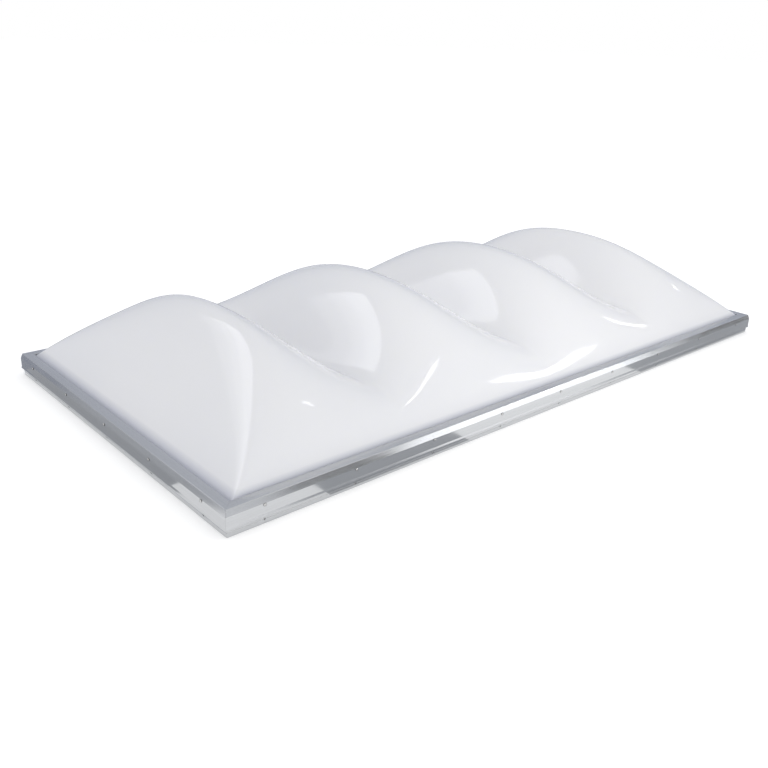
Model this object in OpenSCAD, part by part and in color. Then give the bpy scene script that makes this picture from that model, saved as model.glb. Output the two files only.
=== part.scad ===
// Curb-mounted roof skylight: a multi-lobe acrylic double dome in a mitred aluminium frame.
// X runs along the long sides, Y across, Z up. The origin is at the middle of the frame,
// level with the lower edge of its skirt. An inset is measured inwards from the frame's outermost edge.

/* [Overall] */
// Length of the frame over the drip ledge
frame_l = 2552.7; // [1900:0.1:3200]
// Width of the frame over the drip ledge
frame_w = 1333.5; // [1000:0.1:1700]

/* [Curb frame] */
// Wall of the curb frame extrusion
frame_wall = 2; // [1.6:0.1:3]
// Inset of the skirt's outer face
skirt_inset = 6; // [5:0.5:9]
// Height of the skirt's drip ledge nose above its lower edge
ledge_z = 24.4; // [20:0.1:32]
// Height of the sloping face of the drip ledge
ledge_h = 6.6; // [5:0.1:9]
// Depth of the pocket that laps the roof curb, from lower edge to curb seat
curb_lap = 42; // [36:0.5:60]
// Wall of the shelf that carries the glazing
shelf_wall = 2.5; // [2:0.1:3.5]
// Thickness of the curb gasket
curb_gasket_h = 6; // [3:0.5:10]
// Inset of the curb's outer face, where the curb gasket starts
curb_inset = 19; // [15:0.5:30]
// Width of the curb gasket, which is that of the curb's top
curb_gasket_w = 36; // [25:0.5:50]
// Inset of the shelf's inner edge, level with the curb's inner face
shelf_inset = 57; // [57:0.5:75]
// Gap between the condensation gutter's lip and the inner dome
gutter_gap = 0.6; // [0.4:0.1:2]
// Length of each weep slot
weep_l = 14; // [8:1:25]
// Width of each weep slot
weep_w = 3; // [2:0.5:4]

/* [Retainer] */
// Inset of the retainer's outer face
retainer_inset = 1.5; // [1:0.1:2.5]
// Wall of the retainer extrusion
retainer_wall = 1.8; // [1.4:0.1:2.2]
// Wall of the retainer's top
retainer_top_wall = 2.2; // [1.8:0.1:2.6]
// Height of the retainer's upright face
face_h = 29; // [26:0.5:34]
// Height of the bevel above the upright face
bevel_h = 17.2; // [15:0.1:20]
// How far the bevel leans inwards
bevel_run = 5.5; // [3:0.1:7]
// Inset of the retainer's inner edge
retainer_edge = 36.5; // [34:0.5:40]
// Gap left at each mitre
mitre_gap = 0.2; // [0.1:0.1:0.5]

/* [Glazing stack] */
// Thickness of the bed gasket under the inner dome
bed_h = 5; // [3:0.5:8]
// Wall of the inner dome
inner_wall = 3; // [2:0.5:4.5]
// Thickness of the spacer tape between the dome flanges
spacer_h = 7; // [4:0.5:10]
// Wall of the outer dome
outer_wall = 4.5; // [3:0.5:6]
// Thickness of the glazing gasket on the outer flange
glazing_h = 2.5; // [1.5:0.5:4]
// Inset of the dome flanges' edges, which leaves room for the plastic to grow
flange_inset = 13; // [12.5:0.5:14]

/* [Dome] */
// Inset of the line where the outer dome rises from its flange
base_inset = 38; // [38:0.5:42]
// How much further in the inner dome rises
inner_step = 8; // [6:0.5:11]
// Rise of the outer dome's crest above its flange
dome_rise = 298; // [200:1:380]
// How much lower the inner dome's crest is, above its own flange
crest_drop = 30; // [15:1:60]
// Distance from each end of the rising part to the first valley
end_lobe_l = 597; // [480:1:700]
// Height of a valley's floor above the outer flange, at mid width
valley_h = 84; // [30:1:150]
// How far an end takes to reach its full height
end_run = 355; // [250:5:450]

/* [Fasteners] */
// Screws in each long side
long_count = 9; // [5:2:13]
// Screws in each short side
short_count = 5; // [5:2:9]
// Distance from each corner to the first screw
first_screw = 114.3; // [95:0.1:150]
// Height of the retainer screws above the skirt's lower edge
screw_z = 56; // [55:0.1:57]
// Outer diameter of the retainer screws' thread
screw_d = 4.2; // [3.5:0.1:4.8]
// Length of the retainer screws under the head
screw_l = 11; // [9:0.5:12]
// Diameter of the curb fixing holes in the skirt
fixing_d = 6.6; // [5:0.1:8]
// Height of the curb fixing holes
fixing_z = 13; // [10:0.1:15]

/* [Hidden] */
$fn = 48;
slack = 0.2;          // clearance of a piece that slides into its place
cut = 1;              // how far a cutter runs past what it cuts

// Levels of the stack, from the curb seat up
shelf_z = curb_lap + curb_gasket_h;
shelf_top = shelf_z + shelf_wall;
inner_z = shelf_top + bed_h;                  // underside of the inner flange
spacer_z = inner_z + inner_wall;
outer_z = spacer_z + spacer_h;                // underside of the outer flange
flange_top = outer_z + outer_wall;
lip_z = flange_top + glazing_h;               // foot of the retainer's inner lip

// Levels and insets of the frame section
ledge_top = ledge_z + ledge_h;
shoulder_z = ledge_top + face_h;              // where the bevel starts
bevel_top = shoulder_z + bevel_h;
crown = 0.8;                                  // fall of the retainer's top towards the bevel
retainer_top = bevel_top + crown;
lean = bevel_run / bevel_h;                   // inset gained by the bevel for each unit of height
edge_r = 1.6;                                 // rounding of the retainer's long edges
web_inset = retainer_inset + retainer_wall + slack;
web_in = web_inset + frame_wall;              // inner face of the curb frame's web
web_lean_h = 7.6;                             // leaning top of the web, behind the bevel
nose_h = 1;                                   // blunt nose of the drip ledge
drip_wall = 1.4;                              // thickness of the ledge's hanging lip
groove_d = 0.5;                               // drill-line groove on the skirt
groove_h = 0.7;
gutter_wall = 1.5;
gutter_z = inner_z - gutter_gap;              // top of the gutter's lip

// Key slot under the retainer's top
key_inset = 11;
key_w = 9.6;
key_leg = 60;
claw_wall = 1.2;
claw_toe = 1.3;
claw_gap = 0.8;                               // clearance of the claws over the outer flange
ceiling_z = retainer_top - retainer_top_wall;           // underside of the retainer's top
claw_z = flange_top + claw_gap;                         // foot of the claws
key_h = ceiling_z - claw_z - claw_wall - 2 * slack;

// Angle keys in the curb frame's corners
angle_wall = 3;
angle_h = 8.5;

// Dome outline
half_l = frame_l / 2 - base_inset;
half_w = frame_w / 2 - base_inset;
crease_x = half_l - end_lobe_l;               // the outer valleys; the third is at the middle
arch_power = 2.15;                            // form of the arch across the dome
arch_root = 0.81;
end_power = 1.5;                              // form of an end
end_root = 1.18;
lobe_power = 1.9;                             // form of a lobe between two valleys
lobe_root = 1.3;
fade_power = 2.7;                             // how a valley fades towards the long sides
hip_power = 2.7;                              // sharpness of the hips at the four corners
steepest = 2.4;                               // limit on the wall's height on steep flanks
edge_bias = 0.4;                              // how much closer the grid lines lie at the edges

// Gaskets and tape
gasket_inset = 22;
gasket_w = 15.2;
tape_inset = 15;
tape_w = 19;
bed_w = 21;

// Screw
head_d = 8.4;
head_h = 2.4;
washer_d = 9.4;
washer_h = 1;
tip_h = 2;
recess_w = 1.1;
recess_l = 4.4;
recess_h = 1.5;
hole_slack = 0.5;                             // over the screw, in the retainer
thread_slack = 0.1;                           // over the screw, in the web

function span(side) = (side == "front" || side == "rear") ? frame_l : frame_w;
function screw_count(side) = (side == "front" || side == "rear") ? long_count : short_count;
function pitch(side) = (span(side) - 2 * first_screw) / (screw_count(side) - 1);
function screw_row(side) =
  [for (i = [0 : screw_count(side) - 1]) first_screw - span(side) / 2 + i * pitch(side)];
// A weep lies half way along the second bay from each corner
function weep_row(side) = [for (s = [-1, 1]) s * (span(side) / 2 - first_screw - 1.5 * pitch(side))];
function arc(x, y, r, from, to, steps = 4) =
  [for (i = [0 : steps]) let (a = from + (to - from) * i / steps) [x + r * cos(a), y + r * sin(a)]];

// Places a side's own frame: x along the side, y the inset, z up
module at_side(side) {
  turn = side == "front" ? 0 : side == "rear" ? 180 : side == "left" ? -90 : 90;
  place = side == "front" ? [0, -frame_w / 2, 0] : side == "rear" ? [0, frame_w / 2, 0]
    : side == "left" ? [-frame_l / 2, 0, 0] : [frame_l / 2, 0, 0];
  translate(place) rotate([0, 0, turn]) children();
}

// Places a corner's own frame: x and y are the two insets. Corners count round from front left
module at_corner(number) {
  right = (number == 2 || number == 3) ? 1 : 0;
  rear = number > 2 ? 1 : 0;
  translate([(2 * right - 1) * frame_l / 2, (2 * rear - 1) * frame_w / 2, 0])
    mirror([right, 0, 0]) mirror([0, rear, 0]) children();
}

// An outline of (inset, height) points carried along one side and mitred at both ends
module mitred_bar(length, outline) {
  reach = 90;
  ends = length / 2 - mitre_gap / sqrt(2);
  intersection() {
    rotate([90, 0, 90]) linear_extrude(length, center = true) polygon(outline);
    translate([0, 0, -cut]) linear_extrude(retainer_top + 2 * cut)
      polygon([[-ends, 0], [ends, 0], [ends - reach, reach], [reach - ends, reach]]);
  }
}

// A cutter or a shank that points inwards through a side's walls
module inward(x, z, from = 0) {
  translate([x, from, z]) rotate([-90, 0, 0]) children();
}

// A flat ring round the whole frame, between two insets
module ring(inset, width, z, h) {
  difference() {
    translate([-frame_l / 2 + inset, -frame_w / 2 + inset, z])
      cube([frame_l - 2 * inset, frame_w - 2 * inset, h]);
    translate([-frame_l / 2 + inset + width, -frame_w / 2 + inset + width, z - cut])
      cube([frame_l - 2 * (inset + width), frame_w - 2 * (inset + width), h + 2 * cut]);
  }
}

// ---- Domes ----

// Height share of the arch across the dome, from 0 at the long sides to 1 at mid width
function arch(v) = pow(max(0, 1 - pow(abs(v), arch_power)), arch_root);
// Height share of an end, from 0 at the short side to 1 once it has run its length
function end_rise(from_end) =
  pow(max(0, 1 - pow(max(0, 1 - from_end / end_run), end_power)), end_root);
// Height share along the dome, from 0 on a valley line to 1 at a lobe's crest
function lobe(x) =
  let (ax = abs(x), away = ax < crease_x ? min(ax, crease_x - ax) : ax - crease_x,
    u = min(1, 2 * away / crease_x))
  pow(1 - pow(1 - u, lobe_power), lobe_root);
// Share of the height that a valley takes away, which fades towards the long sides
function valley(x, v) = (1 - valley_h / dome_rise) * (1 - lobe(x)) * (1 - pow(abs(v), fade_power));
// The lower of arch and end, blended along a hip
function vault(a, e) = (a <= 0 || e <= 0) ? 0
  : pow(pow(a, -hip_power) + pow(e, -hip_power) - 1, -1 / hip_power);

// Rise of a dome above its flange at a point, for a dome of half length hl and half width hw
function rise(x, y, hl, hw, height) =
  (abs(x) >= hl || abs(y) >= hw) ? 0
  : height * vault(arch(y / hw) * (1 - valley(x, y / hw)), end_rise(hl - abs(x)));

// Vertical thickness that gives the wall its full thickness on a slope
function wall_drop(x, y, hl, hw, height, wall) =
  (abs(x) >= hl || abs(y) >= hw) ? wall
  : let (d = 2,
    sx = (rise(x + d, y, hl, hw, height) - rise(x - d, y, hl, hw, height)) / (2 * d),
    sy = (rise(x, y + d, hl, hw, height) - rise(x, y - d, hl, hw, height)) / (2 * d))
  wall * min(steepest, sqrt(1 + sx * sx + sy * sy));

// Grid lines from a start to an edge, which lie closer together towards the edge
function edge_lines(start, edge, cells) =
  [for (i = [0 : cells]) let (t = i / cells) start + (edge - start) * t * (1 + edge_bias * (1 - t))];
// Half of the grid lines along the dome: even lines up to the outer valley, then on to the end
function lobe_lines(hl, cells) =
  concat([for (i = [0 : cells - 1]) crease_x * i / cells], edge_lines(crease_x, hl, cells));
// Both halves of a set of grid lines, with one more line at each edge of the flange
function both_halves(lines, flange) =
  concat([-flange], [for (i = [len(lines) - 1 : -1 : 1]) -lines[i]], lines, [flange]);

// A blown sheet on a flat flange: two surfaces over one grid, closed round the flange's edge
module blown_sheet(hl, hw, z, wall, height, cells) {
  xs = both_halves(lobe_lines(hl, cells), frame_l / 2 - flange_inset);
  ys = both_halves(edge_lines(0, hw, cells), frame_w / 2 - flange_inset);
  nx = len(xs);
  ny = len(ys);
  top = [for (x = xs) for (y = ys) [x, y, z + wall + rise(x, y, hl, hw, height)]];
  under = [for (i = [0 : len(top) - 1]) let (p = top[i])
    [p.x, p.y, p.z - wall_drop(p.x, p.y, hl, hw, height, wall)]];
  n = len(top);
  faces_top = [for (i = [0 : nx - 2]) for (j = [0 : ny - 2]) let (a = i * ny + j, b = a + ny)
    each [[a, a + 1, b + 1], [a, b + 1, b]]];
  faces_under = [for (f = faces_top) [n + f[2], n + f[1], n + f[0]]];
  rim = concat([for (i = [0 : nx - 2]) i * ny], [for (j = [0 : ny - 2]) (nx - 1) * ny + j],
    [for (i = [nx - 1 : -1 : 1]) i * ny + ny - 1], [for (j = [ny - 1 : -1 : 1]) j]);
  faces_rim = [for (k = [0 : len(rim) - 1]) let (a = rim[k], b = rim[(k + 1) % len(rim)])
    each [[a, b, n + b], [a, n + b, n + a]]];
  polyhedron(concat(top, under), concat(faces_top, faces_under, faces_rim), convexity = 10);
}

module outer_dome() {
  color([0.93, 0.94, 0.97])
    blown_sheet(half_l, half_w, outer_z, outer_wall, dome_rise, 12);
}

module inner_dome() {
  color([0.86, 0.91, 0.95])
    blown_sheet(half_l - inner_step, half_w - inner_step, inner_z, inner_wall,
      dome_rise - crest_drop, 10);
}

// ---- Retainer ----

// Outer face, bevel and top, then the lip, the two key claws and the inside of the wall
function retainer_outline() =
  let (wall_in = retainer_inset + retainer_wall, edge_z = bevel_top - edge_r,
    edge_x = retainer_inset + (edge_z - shoulder_z) * lean + edge_r * sqrt(1 + lean * lean),
    claw_1 = key_inset - slack - claw_wall, claw_2 = key_inset + key_w + slack,
    toe_top = claw_z + claw_wall)
  concat(
    [[retainer_inset, ledge_top], [retainer_inset, shoulder_z]],
    arc(edge_x, edge_z, edge_r, 180 - atan(lean), 90),
    arc(retainer_edge - edge_r / 2, retainer_top - edge_r / 2, edge_r / 2, 90, 0),
    [[retainer_edge, lip_z], [retainer_edge - frame_wall, lip_z],
     [retainer_edge - frame_wall, ceiling_z],
     [claw_2 + claw_wall, ceiling_z], [claw_2 + claw_wall, claw_z], [claw_2 - claw_toe, claw_z],
     [claw_2 - claw_toe, toe_top], [claw_2, toe_top], [claw_2, ceiling_z],
     [key_inset - slack, ceiling_z], [key_inset - slack, toe_top], [key_inset - slack + claw_toe, toe_top],
     [key_inset - slack + claw_toe, claw_z], [claw_1, claw_z],
     [claw_1, ceiling_z],
     [wall_in + (ceiling_z - shoulder_z) * lean, ceiling_z], [wall_in, shoulder_z], [wall_in, ledge_top]]);

module retainer(side) {
  color([0.78, 0.79, 0.80]) at_side(side) difference() {
    mitred_bar(span(side), retainer_outline());
    for (x = screw_row(side))
      inward(x, screw_z) cylinder(d = screw_d + hole_slack, h = web_in);
  }
}

module retainer_key(number) {
  low = key_inset;
  high = key_inset + key_w;
  color([0.62, 0.63, 0.64]) at_corner(number) translate([0, 0, ceiling_z - slack - key_h])
    linear_extrude(key_h) polygon([[low, low], [low + key_leg, low], [low + key_leg, high],
      [high, high], [high, low + key_leg], [low, low + key_leg]]);
}

// ---- Curb frame ----

// Skirt, jog, web, shelf and gutter lip, the leaning web top, then the drip ledge and the groove
function curb_frame_outline() =
  let (skirt_in = skirt_inset + frame_wall, under = ledge_top - frame_wall,
    run = web_lean_h * lean)
  [[skirt_inset, 0], [skirt_in, 0], [skirt_in, ledge_top], [web_in, ledge_top], [web_in, shelf_z],
   [shelf_inset, shelf_z], [shelf_inset, gutter_z],
   [shelf_inset - gutter_wall, gutter_z], [shelf_inset - gutter_wall, shelf_top],
   [web_in, shelf_top], [web_in, shoulder_z], [web_in + run, shoulder_z + web_lean_h],
   [web_inset + run, shoulder_z + web_lean_h], [web_inset, shoulder_z], [web_inset, ledge_top],
   [retainer_inset, ledge_top], [0, ledge_z + nose_h], [0, ledge_z], [drip_wall, ledge_z],
   [retainer_inset + drip_wall, under], [skirt_inset, under],
   [skirt_inset, fixing_z + groove_h], [skirt_inset + groove_d, fixing_z], [skirt_inset, fixing_z - groove_h]];

module curb_frame(side) {
  color([0.74, 0.75, 0.76]) at_side(side) difference() {
    mitred_bar(span(side), curb_frame_outline());
    for (x = screw_row(side)) {
      inward(x, screw_z) cylinder(d = screw_d + thread_slack, h = web_in + cut);
      inward(x, fixing_z, skirt_inset - cut) cylinder(d = fixing_d, h = frame_wall + 2 * cut);
    }
    for (x = weep_row(side))
      translate([x - weep_l / 2, web_in + slack, shelf_z - cut])
        cube([weep_l, weep_w, shelf_top - shelf_z + 2 * cut]);
  }
}

module curb_frame_key(number) {
  low = web_in + slack / 2;
  high = low + angle_wall;
  color([0.60, 0.61, 0.62]) at_corner(number) translate([0, 0, shelf_top])
    linear_extrude(angle_h) polygon([[low, low], [low + key_leg, low], [low + key_leg, high],
      [high, high], [high, low + key_leg], [low, low + key_leg]]);
}

// ---- Gaskets and tape ----

module glazing_gasket() {
  color([0.25, 0.26, 0.27]) ring(gasket_inset, gasket_w, flange_top, glazing_h);
}

module spacer_tape() {
  color([0.30, 0.30, 0.31]) ring(tape_inset, tape_w, spacer_z, spacer_h);
}

// The bed gasket is laid in strips that stop short of each weep, so the gutter drains past them
module bed_gasket() {
  color([0.28, 0.28, 0.29]) difference() {
    ring(tape_inset, bed_w, shelf_top, bed_h);
    for (side = ["front", "rear", "left", "right"]) at_side(side)
      for (x = weep_row(side))
        translate([x - weep_l / 2, tape_inset - cut, shelf_top - cut])
          cube([weep_l, bed_w + 2 * cut, bed_h + 2 * cut]);
  }
}

// Long strips run the whole length, and short strips butt between them
module curb_gasket(side) {
  long = side == "front" || side == "rear";
  back = long ? curb_inset : curb_inset + curb_gasket_w + slack;
  color([0.22, 0.22, 0.23]) at_side(side)
    translate([back - span(side) / 2, curb_inset, curb_lap])
      cube([span(side) - 2 * back, curb_gasket_w, curb_gasket_h]);
}

// ---- Fasteners ----

// Pan head with a cross recess, plain shank and point. The seat is at z = 0 and the shank runs up
module pan_screw() {
  sphere_r = (head_d * head_d / 4 + head_h * head_h) / (2 * head_h);
  difference() {
    union() {
      intersection() {
        translate([0, 0, sphere_r - head_h]) sphere(r = sphere_r);
        translate([0, 0, -head_h - cut]) cylinder(d = head_d, h = head_h + cut);
      }
      translate([0, 0, -head_h / 4]) cylinder(d = screw_d, h = screw_l - tip_h + head_h / 4);
      translate([0, 0, screw_l - tip_h]) cylinder(d1 = screw_d, d2 = screw_d / 4, h = tip_h);
    }
    for (turn = [0, 90]) rotate([0, 0, turn])
      translate([-recess_l / 2, -recess_w / 2, -head_h - cut]) cube([recess_l, recess_w, recess_h + cut]);
  }
}

module retainer_screws(side) {
  color([0.85, 0.86, 0.87]) at_side(side)
    for (x = screw_row(side)) inward(x, screw_z, retainer_inset - washer_h) pan_screw();
}

module sealing_washers(side) {
  color([0.18, 0.18, 0.19]) at_side(side)
    for (x = screw_row(side)) inward(x, screw_z, retainer_inset - washer_h) difference() {
      cylinder(d = washer_d, h = washer_h);
      translate([0, 0, -cut]) cylinder(d = screw_d + thread_slack, h = washer_h + 2 * cut);
    }
}

outer_dome();
inner_dome();
retainer("front");  // retainer_front
retainer("rear");  // retainer_rear
retainer("left");  // retainer_left
retainer("right");  // retainer_right
retainer_key(1);  // retainer_key_1
retainer_key(2);  // retainer_key_2
retainer_key(3);  // retainer_key_3
retainer_key(4);  // retainer_key_4
curb_frame("front");  // curb_frame_front
curb_frame("rear");  // curb_frame_rear
curb_frame("left");  // curb_frame_left
curb_frame("right");  // curb_frame_right
curb_frame_key(1);  // curb_frame_key_1
curb_frame_key(2);  // curb_frame_key_2
curb_frame_key(3);  // curb_frame_key_3
curb_frame_key(4);  // curb_frame_key_4
glazing_gasket();
spacer_tape();
bed_gasket();
curb_gasket("front");  // curb_gasket_front
curb_gasket("rear");  // curb_gasket_rear
curb_gasket("left");  // curb_gasket_left
curb_gasket("right");  // curb_gasket_right
retainer_screws("front");  // retainer_screws_front
retainer_screws("rear");  // retainer_screws_rear
retainer_screws("left");  // retainer_screws_left
retainer_screws("right");  // retainer_screws_right
sealing_washers("front");  // sealing_washers_front
sealing_washers("rear");  // sealing_washers_rear
sealing_washers("left");  // sealing_washers_left
sealing_washers("right");  // sealing_washers_right
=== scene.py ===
"""A curb-mounted roof skylight: a white four-lobe acrylic double dome in a low mitred aluminium frame.

Everything is in metres. X runs along the long sides, Y across, and Z up from the skirt's lower edge.
The sections follow the order in which the skylight is put together, from the curb frame up.
"""
import math

import bpy
import numpy as np
from mathutils import Matrix, Vector


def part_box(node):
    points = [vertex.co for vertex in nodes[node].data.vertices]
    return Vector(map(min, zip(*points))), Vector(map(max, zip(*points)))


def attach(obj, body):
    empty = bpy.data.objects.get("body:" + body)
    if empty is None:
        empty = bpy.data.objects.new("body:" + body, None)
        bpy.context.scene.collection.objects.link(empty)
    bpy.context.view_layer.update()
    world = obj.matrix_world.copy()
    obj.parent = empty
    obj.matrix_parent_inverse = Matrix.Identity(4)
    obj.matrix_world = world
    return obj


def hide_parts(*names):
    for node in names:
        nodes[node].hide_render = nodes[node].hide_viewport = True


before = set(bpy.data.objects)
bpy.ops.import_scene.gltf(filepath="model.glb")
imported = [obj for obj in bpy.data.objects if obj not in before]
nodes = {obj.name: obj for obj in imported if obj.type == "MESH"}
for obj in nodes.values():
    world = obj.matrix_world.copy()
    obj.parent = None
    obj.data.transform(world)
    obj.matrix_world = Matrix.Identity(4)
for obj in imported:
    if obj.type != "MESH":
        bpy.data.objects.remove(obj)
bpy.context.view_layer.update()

SIDES = ("front", "rear", "left", "right")
CORNERS = (1, 2, 3, 4)


# ---- Curb frame ----
# Four mitred lengths of one aluminium extrusion: the skirt that laps the roof curb, its drip ledge,
# the shelf that carries the glazing, and the gutter lip. They are left in their mill finish.

PATTERN_SPAN = {"From Min": 0.3, "From Max": 0.7}     # where nearly all values of a noise pattern lie


def linear(hex_colour):
    """An sRGB colour, written as six hex digits, as the linear colour that a shader takes."""
    srgb = np.array([int(hex_colour[i:i + 2], 16) for i in (0, 2, 4)]) / 255
    value = np.where(srgb <= 0.04045, srgb / 12.92, ((srgb + 0.055) / 1.055) ** 2.4)
    return (*value.tolist(), 1.0)


def add_node(tree, kind, inputs=None, **settings):
    """Adds one shader node. Each input is a value for its socket, or the socket that feeds it."""
    node = tree.nodes.new("ShaderNode" + kind)
    for name, value in settings.items():
        setattr(node, name, value)
    for name, value in (inputs or {}).items():
        if isinstance(value, bpy.types.NodeSocket):
            tree.links.new(value, node.inputs[name])
        else:
            node.inputs[name].default_value = value
    return node


def start_material(name, **sockets):
    """A new material with its main shader's sockets set, and its node tree and shader at hand."""
    material = bpy.data.materials.new(name)
    material.use_nodes = True
    shader = material.node_tree.nodes["Principled BSDF"]
    for socket, value in sockets.items():
        shader.inputs[socket.replace("_", " ")].default_value = value
    return material, material.node_tree, shader


def noise_at(tree, lump_mm, detail, stretch=(1, 1, 1)):
    """A noise pattern in the piece's own metres. Its lumps are that many millimetres across, divided
    along each axis by that axis's stretch."""
    place = add_node(tree, "TexCoord").outputs["Object"]
    spread = add_node(tree, "Mapping", {"Vector": place, "Scale": stretch}).outputs[0]
    pattern = add_node(tree, "TexNoise", {"Vector": spread, "Scale": 1000 / lump_mm, "Detail": detail})
    return pattern.outputs[0]


def show_pattern(tree, shader, pattern, colours, roughness=None, bump=None):
    """Lets a pattern show in a finish. As it rises, the colour goes from the first to the second, and
    so does the roughness where its two values are given. Bump is the relief's strength and depth."""
    first, second = colours
    mix = add_node(tree, "Mix", {0: pattern, 6: linear(first), 7: linear(second)}, data_type="RGBA")
    tree.links.new(mix.outputs[2], shader.inputs["Base Color"])
    if roughness:
        low, high = roughness
        spread = add_node(tree, "MapRange", {"Value": pattern, **PATTERN_SPAN, "To Min": low, "To Max": high})
        tree.links.new(spread.outputs[0], shader.inputs["Roughness"])
    if bump:
        strength, depth = bump
        relief = add_node(tree, "Bump", {"Height": pattern, "Strength": strength, "Distance": depth})
        tree.links.new(relief.outputs[0], shader.inputs["Normal"])


def dress(piece, material):
    """Puts one material in every slot of a piece."""
    slots = piece.data.materials
    if not slots:
        slots.append(material)
    for i in range(len(slots)):
        slots[i] = material


def mill_aluminium(name, along):
    """Extruded aluminium as it leaves the press. The die draws fine lines down the whole length, so a
    reflection is smeared into soft long streaks, and handling leaves faint dull clouds.
    The die lines are 0.3 mm apart on the real bar, and are drawn 3 mm apart so that they show."""
    line_mm, line_length_mm, cloud_mm = 3.03, 700, 143
    stretch = [1.0, 1.0, 1.0]
    stretch[along] = line_mm / line_length_mm
    material, tree, shader = start_material(name, Metallic=1.0)
    lines = noise_at(tree, line_mm, 2.0, stretch)
    show_pattern(tree, shader, lines, ("BEC0C2", "CDCED0"), bump=(0.1, 0.0003))
    clouds = noise_at(tree, cloud_mm, 4.0, (1, 1, 3))
    ripple = add_node(tree, "MapRange", {"Value": lines, **PATTERN_SPAN, "To Min": -0.02, "To Max": 0.02})
    dull = add_node(tree, "MapRange", {"Value": clouds, **PATTERN_SPAN, "To Min": 0.15, "To Max": 0.22})
    both = add_node(tree, "Math", {0: ripple.outputs[0], 1: dull.outputs[0]}, operation="ADD")
    tree.links.new(both.outputs[0], shader.inputs["Roughness"])
    return material


aluminium_along = {"front": mill_aluminium("mill_finish_aluminium_long", 0),
                   "left": mill_aluminium("mill_finish_aluminium_short", 1)}
aluminium_along["rear"] = aluminium_along["front"]
aluminium_along["right"] = aluminium_along["left"]

for side in SIDES:
    dress(nodes["curb_frame_" + side], aluminium_along[side])


# ---- Curb frame keys ----
# An L of aluminium plate is crimped into each corner of the shelf, behind the web. The blade leaves
# its cut faces duller than the bars.

def sawn_aluminium():
    """Sawn aluminium plate: the saw's arcs are 1.5 mm apart and scatter light, so it looks flat grey."""
    material, tree, shader = start_material("sawn_aluminium", Metallic=1.0)
    arcs = noise_at(tree, 1.515, 2.0, (1, 1, 0.05))
    show_pattern(tree, shader, arcs, ("A2A4A6", "BDBEC0"), roughness=(0.42, 0.56), bump=(0.4, 0.0003))
    return material


sawn = sawn_aluminium()
for corner in CORNERS:
    dress(nodes["curb_frame_key_%d" % corner], sawn)


# ---- Curb gaskets and bed gasket ----
# Foam strips stick to the frame's underside where it sits on the curb, and a solid rubber bed lies on
# the shelf under the glazing. Both are black EPDM, and the foam's skin is the more open one.

def epdm(name, cell_mm, depth_mm, roughness):
    """EPDM rubber: carbon black through and through, with a matt skin pitted by cells of that size."""
    material, tree, shader = start_material(name, Roughness=roughness, IOR=1.52)
    cells = noise_at(tree, cell_mm, 3.0)
    show_pattern(tree, shader, cells, ("1B1B1D", "29292B"), bump=(0.6, depth_mm / 1000))
    return material


foam = epdm("epdm_foam", 2.5, 0.5, 0.88)
solid_rubber = epdm("epdm_solid_rubber", 1.2, 0.1, 0.62)
for side in SIDES:
    dress(nodes["curb_gasket_" + side], foam)
dress(nodes["bed_gasket"], solid_rubber)


# ---- Inner dome ----
# A clear acrylic sheet, heated and blown against three cross bars, so that it rises in four lobes
# from a flat flange all round. It shuts off the air space that keeps the skylight from sweating.

INNER_WALL = 0.003
INNER_STEP = 0.033                # from the flange's edge to where the sheet starts to rise
INNER_CELLS = 36                  # grid cells to each lobe, and across each half
FLANGE_TO_VALLEY = 0.622          # from the outer dome's flange edge to the first cross bar
END_RUN = 0.355                   # how far an end takes to reach its full height
VALLEY_SHARE = 84 / 298           # height of a valley's floor, as a share of the dome's rise
ARCH_POWER, ARCH_ROOT = 2.15, 0.81
END_POWER, END_ROOT = 1.5, 1.18
LOBE_POWER, LOBE_ROOT = 1.9, 1.3
FADE_POWER = 2.7                  # how a valley fades towards the long sides
HIP_POWER = 2.7                   # sharpness of the hips at the four corners
EDGE_BIAS = 0.75                  # how much closer the grid lines lie at the edges
STEEPEST = 2.4                    # limit on the wall's upright thickness, in walls

flange_edge_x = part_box("outer_dome")[1].x
valley_x = flange_edge_x - FLANGE_TO_VALLEY


def lobed_rise(x, y, half_length, half_width, height):
    """Rise of the blown sheet above its flange.

    Across the dome it is an arch: one minus a power of the distance from mid width, to the power of
    the arch's root. Along the dome, a lobe's share climbs from nothing on a valley line to one at the
    crest in the same form. A valley takes away what the lobe leaves, down to the valley's own share of
    the height, and fades towards the long sides. Each end climbs in that form too over its own run.
    The lower of arch and end holds, blended along a hip by adding their inverse powers."""
    v = np.clip(np.abs(y) / half_width, 0, 1)
    from_middle = np.abs(x)
    away = np.where(from_middle < valley_x, np.minimum(from_middle, valley_x - from_middle),
                    from_middle - valley_x)
    to_crest = np.clip(2 * away / valley_x, 0, 1)
    lobe = (1 - (1 - to_crest) ** LOBE_POWER) ** LOBE_ROOT
    valley = (1 - VALLEY_SHARE) * (1 - lobe) * (1 - v ** FADE_POWER)
    arch = (1 - v ** ARCH_POWER) ** ARCH_ROOT * (1 - valley)
    from_end = np.clip((half_length - from_middle) / END_RUN, 0, 1)
    end = (1 - (1 - from_end) ** END_POWER) ** END_ROOT
    tiny = 1e-6
    inverse = np.maximum(arch, tiny) ** -HIP_POWER + np.maximum(end, tiny) ** -HIP_POWER - 1
    inside = (from_middle < half_length) & (np.abs(y) < half_width)
    return np.where(inside, height * inverse ** (-1 / HIP_POWER), 0)


def edge_lines(start, edge, cells):
    """Grid lines from a start to an edge, closer together towards the edge."""
    t = np.linspace(0, 1, cells + 1)
    return start + (edge - start) * t * (1 + EDGE_BIAS * (1 - t))


def both_halves(lines, flange):
    """A half set of grid lines mirrored about the middle, with two more out to the flange's edge."""
    half = np.concatenate([lines, [0.5 * (lines[-1] + flange), flange]])
    return np.concatenate([-half[:0:-1], half])


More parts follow.
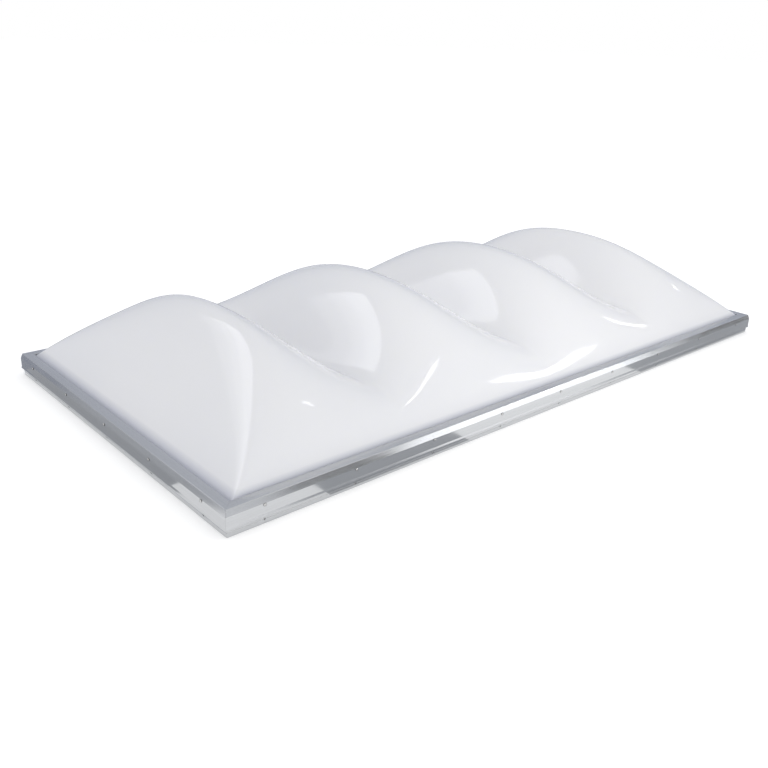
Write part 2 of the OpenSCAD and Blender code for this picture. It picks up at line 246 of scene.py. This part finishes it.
def blown_sheet(name, step, wall, cells):
    """A closed shell over one grid: the sheet's upper face, its lower face a wall's thickness below,
    and the flange's rim. The wall is thickened upright by the slope, so that it stays one wall thick
    square to the sheet. The place and the rise come from the CAD node of the same name."""
    low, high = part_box(name)
    half_length, half_width = high.x - step, high.y - step
    height = high.z - low.z - wall
    along = np.concatenate([np.linspace(0, valley_x, cells + 1)[:-1],
                            edge_lines(valley_x, half_length, cells)])
    across = edge_lines(0, half_width, cells)
    x, y = np.meshgrid(both_halves(along, high.x), both_halves(across, high.y), indexing="ij")

    def rise_beside(dx, dy):
        return lobed_rise(x + dx, y + dy, half_length, half_width, height)

    nudge = 0.002
    rise = rise_beside(0, 0)
    slope_x = (rise_beside(nudge, 0) - rise_beside(-nudge, 0)) / (2 * nudge)
    slope_y = (rise_beside(0, nudge) - rise_beside(0, -nudge)) / (2 * nudge)
    drop = wall * np.minimum(STEEPEST, np.sqrt(1 + slope_x ** 2 + slope_y ** 2))
    drop = np.where(rise > 0, drop, wall)
    top = np.stack([x, y, low.z + wall + rise], -1).reshape(-1, 3)
    under = top - np.stack([0 * x, 0 * x, drop], -1).reshape(-1, 3)

    number = np.arange(x.size).reshape(x.shape)
    upper = np.stack([number[:-1, :-1], number[1:, :-1], number[1:, 1:], number[:-1, 1:]], -1)
    upper = upper.reshape(-1, 4)
    rim = np.concatenate([number[:-1, 0], number[-1, :-1], number[:0:-1, -1], number[0, :0:-1]])
    after = np.roll(rim, -1)
    edge = np.stack([rim, rim + x.size, after + x.size, after], -1)
    faces = np.concatenate([upper, upper[:, ::-1] + x.size, edge])

    mesh = bpy.data.meshes.new(name + "_mesh")
    mesh.from_pydata(np.concatenate([top, under]).tolist(), [], faces.tolist())
    smooth = np.ones(len(faces), bool)
    smooth[-len(edge):] = False
    mesh.polygons.foreach_set("use_smooth", smooth)
    mesh.update()
    piece = bpy.data.objects.new(name.replace("dome", "blown_dome"), mesh)
    bpy.context.scene.collection.objects.link(piece)
    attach(piece, "root")
    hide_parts(name)
    return piece


def clear_acrylic():
    """Clear cast acrylic: polished by the casting glass, so it shows only as gloss, with the faint
    blue tint of its thickness and the soft waves, 200 mm long, that blowing leaves."""
    material, tree, shader = start_material("clear_blown_acrylic", Roughness=0.03, IOR=1.49,
                                            Transmission_Weight=1.0)
    waves = noise_at(tree, 200, 1.0)
    show_pattern(tree, shader, waves, ("EDF5FA", "F7FBFD"), bump=(0.3, 0.002))
    return material


inner_dome = blown_sheet("inner_dome", INNER_STEP, INNER_WALL, INNER_CELLS)
dress(inner_dome, clear_acrylic())


# ---- Spacer tape ----
# A ring of black butyl tape between the two flanges. It seals the air space, and stays tacky and dull.

def butyl():
    """Butyl sealing tape: tar-like and soft, pressed flat, with a dull skin that keeps finger dents
    about 8 mm across."""
    material, tree, shader = start_material("butyl_tape", Roughness=0.55, IOR=1.5)
    dents = noise_at(tree, 8, 2.0)
    show_pattern(tree, shader, dents, ("202022", "2D2D30"), bump=(0.5, 0.0006))
    return material


dress(nodes["spacer_tape"], butyl())


# ---- Outer dome ----
# The weather skin: a white opal acrylic sheet blown in the same manner. It is the same white all
# through and lets daylight pass, and its face keeps the gloss of the casting.

OUTER_WALL = 0.0045
OUTER_STEP = 0.025                # from the flange's edge to where the sheet starts to rise
OUTER_CELLS = 60                  # grid cells to each lobe, and across each half
FOOT_SHADE_HEIGHT = 0.022                 # height over which painted shade greys the sheet's foot, where it meets the retainer


def opal_acrylic():
    """Opal acrylic: white pigment scatters light inside the sheet, under a hard clear gloss. Blowing
    draws it thinner on the crests than at the foot, so its white varies a little every 450 mm or so,
    and its gloss every 110 mm. Painted shade darkens its foot to lavender grey where it meets the retainer."""
    material, tree, shader = start_material("opal_blown_acrylic", IOR=1.49, Subsurface_Weight=0.3,
                                            Subsurface_Radius=(0.010, 0.010, 0.012), Subsurface_Scale=1.0)
    draw = noise_at(tree, 455, 1.0)
    sheet = add_node(tree, "Mix", {0: draw, 6: linear("E2E3E8"), 7: linear("E8E8EB")}, data_type="RGBA")
    height = add_node(tree, "SeparateXYZ", {0: add_node(tree, "TexCoord").outputs["Object"]}).outputs["Z"]
    flange_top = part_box("outer_dome")[0].z + OUTER_WALL
    # Painted shade: just above the flange the base colour is mixed up to three quarters of the way to
    # lavender grey, for the shade where the sheet meets the retainer.
    foot = add_node(tree, "MapRange", {"Value": height, "From Min": flange_top,
                                       "From Max": flange_top + FOOT_SHADE_HEIGHT, "To Min": 0.75, "To Max": 0.0})
    shaded_foot_colour = add_node(tree, "Mix", {0: foot.outputs[0], 6: sheet.outputs[2], 7: linear("9DA2B4")},
                     data_type="RGBA")
    tree.links.new(shaded_foot_colour.outputs[2], shader.inputs["Base Color"])
    skin = noise_at(tree, 111, 2.0)
    gloss = add_node(tree, "MapRange", {"Value": skin, **PATTERN_SPAN, "To Min": 0.06, "To Max": 0.10})
    tree.links.new(gloss.outputs[0], shader.inputs["Roughness"])
    return material


outer_dome = blown_sheet("outer_dome", OUTER_STEP, OUTER_WALL, OUTER_CELLS)
dress(outer_dome, opal_acrylic())


# ---- Glazing gasket ----
# A black EPDM strip on the outer flange, which the retainer's lip presses down.

dress(nodes["glazing_gasket"], solid_rubber)


# ---- Retainer ----
# Four mitred aluminium caps with a bevelled shoulder, keyed at the corners by L plates that slide in
# their claws. They come from the same press as the curb frame.

for side in SIDES:
    dress(nodes["retainer_" + side], aluminium_along[side])
for corner in CORNERS:
    dress(nodes["retainer_key_%d" % corner], sawn)


# ---- Sealing washers and screws ----
# Pan head stainless screws, each on a bonded rubber washer, hold the retainer to the curb frame's web.

def stainless():
    """Cold-headed stainless steel: bright, tumbled smooth, with a trace of the header's marks."""
    material, tree, shader = start_material("stainless_steel", Metallic=1.0)
    marks = noise_at(tree, 1.11, 3.0)
    show_pattern(tree, shader, marks, ("C9C9C8", "DEDEDD"), roughness=(0.16, 0.3))
    return material


steel = stainless()
washer_rubber = epdm("epdm_washer_rubber", 0.8, 0.05, 0.5)
for side in SIDES:
    dress(nodes["retainer_screws_" + side], steel)
    dress(nodes["sealing_washers_" + side], washer_rubber)


# ---- Floor ----
# A plain pale studio floor, wide enough to reach the horizon in every view. It glows a little, so that
# it stays white to its far edge.

FLOOR_REACH = 60.0
FLOOR_GLOW = 0.25


def flat_sheet(name, corner, along, across, colour, glow=0.0):
    """A flat stage piece in one plain colour: a parallelogram, from one corner along two edges."""
    corner, along, across = np.array(corner), np.array(along), np.array(across)
    corners = np.stack([corner, corner + along, corner + along + across, corner + across])
    mesh = bpy.data.meshes.new(name)
    mesh.from_pydata(corners.tolist(), [], [(0, 1, 2, 3)])
    piece = bpy.data.objects.new(name, mesh)
    bpy.context.scene.collection.objects.link(piece)
    dress(piece, start_material(name + "_paint", Base_Color=linear(colour), Roughness=0.9,
                                Emission_Strength=glow)[0])
    return piece


flat_sheet("floor", (-FLOOR_REACH, -FLOOR_REACH, 0), (2 * FLOOR_REACH, 0, 0), (0, 2 * FLOOR_REACH, 0),
           "F8F8F8", FLOOR_GLOW)


# ---- Light ----
# A pale studio with a sky that is brighter above and in front. Softboxes that show only as reflections
# draw the edge on the left end, the bright spots on the dome and the bright stretch of the front rail,
# and panels in between show as its dark stretches. One small lamp lights the front of the dome.

MIDDLE = Vector((0, 0, 0.2))
SKY_LEAN = (-0.35, -0.45, 1.0)    # the direction in which the sky grows brighter


def bearing(azimuth, elevation, distance=1.0):
    """The step that far out, at an azimuth from +X round to +Y and an elevation upwards, in degrees."""
    a, e = math.radians(azimuth), math.radians(elevation)
    return distance * Vector((math.cos(e) * math.cos(a), math.cos(e) * math.sin(a), math.sin(e)))


def softbox(name, place, towards, width, height, glow, colour="FFFFFF"):
    """A rectangular softbox that stands at a place, faces a point and shows only as a reflection. Its
    power is its brightness times pi times its area."""
    light = bpy.data.lights.new(name, "AREA")
    light.shape = "RECTANGLE"
    light.size, light.size_y = width, height
    light.energy = glow * math.pi * width * height
    light.color = linear(colour)[:3]
    lamp = bpy.data.objects.new(name, light)
    bpy.context.scene.collection.objects.link(lamp)
    lamp.location = place
    lamp.rotation_euler = (Vector(towards) - Vector(place)).to_track_quat("-Z", "Y").to_euler()
    lamp.visible_camera = lamp.visible_diffuse = False
    return lamp


world = bpy.data.worlds.new("studio")
bpy.context.scene.world = world
world.use_nodes = True
sky = world.node_tree
direction = add_node(sky, "TexCoord").outputs["Generated"]
lift = add_node(sky, "VectorMath", {0: direction, 1: SKY_LEAN}, operation="DOT_PRODUCT").outputs["Value"]
climb = add_node(sky, "MapRange", {"Value": lift, "From Min": -0.3, "From Max": 0.8}).outputs[0]
shade = add_node(sky, "Mix", {0: climb, 6: linear("B4B9C6"), 7: linear("FFFFFF")}, data_type="RGBA")
graded = add_node(sky, "Background", {"Color": shade.outputs[2], "Strength": 1.0})
plain = add_node(sky, "Background", {"Color": linear("FFFFFF"), "Strength": 1.0})
behind = add_node(sky, "LightPath").outputs["Is Camera Ray"]
whole = add_node(sky, "MixShader", {0: behind, 1: graded.outputs[0], 2: plain.outputs[0]})
sky.links.new(whole.outputs[0], sky.nodes["World Output"].inputs["Surface"])

# Three softboxes over the left end share a top and a right edge, so their reflection fades downwards.
# Each stands a little behind the last: of lights in one plane, a reflection shows only one.
LEFT_AZIMUTH, LEFT_ELEVATION, LEFT_DISTANCE, LEFT_GAP = 147, 45, 4.6, 0.001
LEFT_TOP, LEFT_RIGHT, LEFT_WIDTH = 2.1, 2.8, 4.0     # edges measured from the line that they aim along
LEFT_FEET = {"left_softbox_high": 0.9, "left_softbox_mid": 0.3, "left_softbox_low": -0.3}
leftwards = bearing(LEFT_AZIMUTH + 90, 0)
upwards = bearing(LEFT_AZIMUTH + 180, 90 - LEFT_ELEVATION)
for order, (name, foot) in enumerate(LEFT_FEET.items()):
    aim = bearing(LEFT_AZIMUTH, LEFT_ELEVATION, LEFT_DISTANCE + order * LEFT_GAP)
    place = MIDDLE + aim + leftwards * (0.5 * LEFT_WIDTH - LEFT_RIGHT) + upwards * 0.5 * (LEFT_TOP + foot)
    softbox(name, place, place - aim, LEFT_WIDTH, LEFT_TOP - foot, 0.65, "FAFBFF")

# Each small softbox faces the spot on the dome where it is to show
SPOT_GLOW = 9.0
softbox("right_softbox", (3.12, -2.26, 2.30), (-0.06, -0.60, 0.11), 0.5, 0.6, SPOT_GLOW)
softbox("narrow_softbox", (4.18, -0.75, 2.14), (0.47, -0.54, 0.17), 0.26, 0.08, SPOT_GLOW)
softbox("slim_softbox", (1.63, -1.16, 3.73), (-0.51, -0.54, 0.17), 0.11, 0.36, SPOT_GLOW)

PANEL_Y = -3.66                   # the plane of the upright panels in front
softbox("front_softbox", (3.2, PANEL_Y, 0.45), (3.2, 0, 0.45), 3.2, 0.9, 1.55)
key = softbox("key_softbox", (0.15, -1.4, 1.1), (0.1, -0.4, 0.2), 0.8, 0.6, 2.32, "FFFEFA")
key.visible_diffuse, key.visible_glossy = True, False


def flag(name, corner, along, across, colour):
    """A panel that only shows as a darker field where a glossy surface mirrors it."""
    piece = flat_sheet(name, corner, along, across, colour)
    piece.visible_camera = piece.visible_diffuse = piece.visible_shadow = False


PANEL_TOP = 0.7
OFF_FLOOR = 0.001                 # gap between the floor and the panels that lie on it
flag("near_flag", (0.6, PANEL_Y, 0), (1.0, 0, 0), (0, 0, PANEL_TOP), "303032")
flag("far_flag", (4.8, PANEL_Y, 0), (3.7, 0, 0), (0, 0, PANEL_TOP), "303032")
flag("near_floor_flag", (-0.95, -1.6, OFF_FLOOR), (0.53, 0, 0), (0, 0.93, 0), "BFC1C5")
flag("far_floor_flag", (0.5, -1.6, OFF_FLOOR), (2.1, 0, 0), (0, 0.93, 0), "BFC1C5")
flag("left_floor_flag", (-2.6, -0.35, OFF_FLOOR), (1.315, 0, 0), (0, 1.25, 0), "BFC1C5")
flag("rear_flag", (-2, 0.7, OFF_FLOOR), (11, 0, 0), (0, 8.3, 0), "A4A8B4")


# ---- Camera ----
# It stands off the near left corner and looks down on the whole skylight, with a slight roll.

CAMERA_PLACE = (-2.1506, -2.1895, 1.1291)
CAMERA_AZIMUTH, CAMERA_DIP, CAMERA_ROLL = 48.120, 22.525, 1.775     # degrees
CAMERA_LENS = 39.635              # mm, on the usual 36 mm sensor

camera = bpy.data.objects.new("camera", bpy.data.cameras.new("camera"))
bpy.context.scene.collection.objects.link(camera)
camera.data.lens = CAMERA_LENS
camera.data.clip_end = 200
camera.matrix_world = (Matrix.Translation(CAMERA_PLACE)
                       @ Matrix.Rotation(math.radians(CAMERA_AZIMUTH - 90), 4, "Z")
                       @ Matrix.Rotation(math.radians(90 - CAMERA_DIP), 4, "X")
                       @ Matrix.Rotation(math.radians(CAMERA_ROLL), 4, "Z"))
bpy.context.scene.camera = camera
bpy.context.scene.view_settings.view_transform = "Standard"
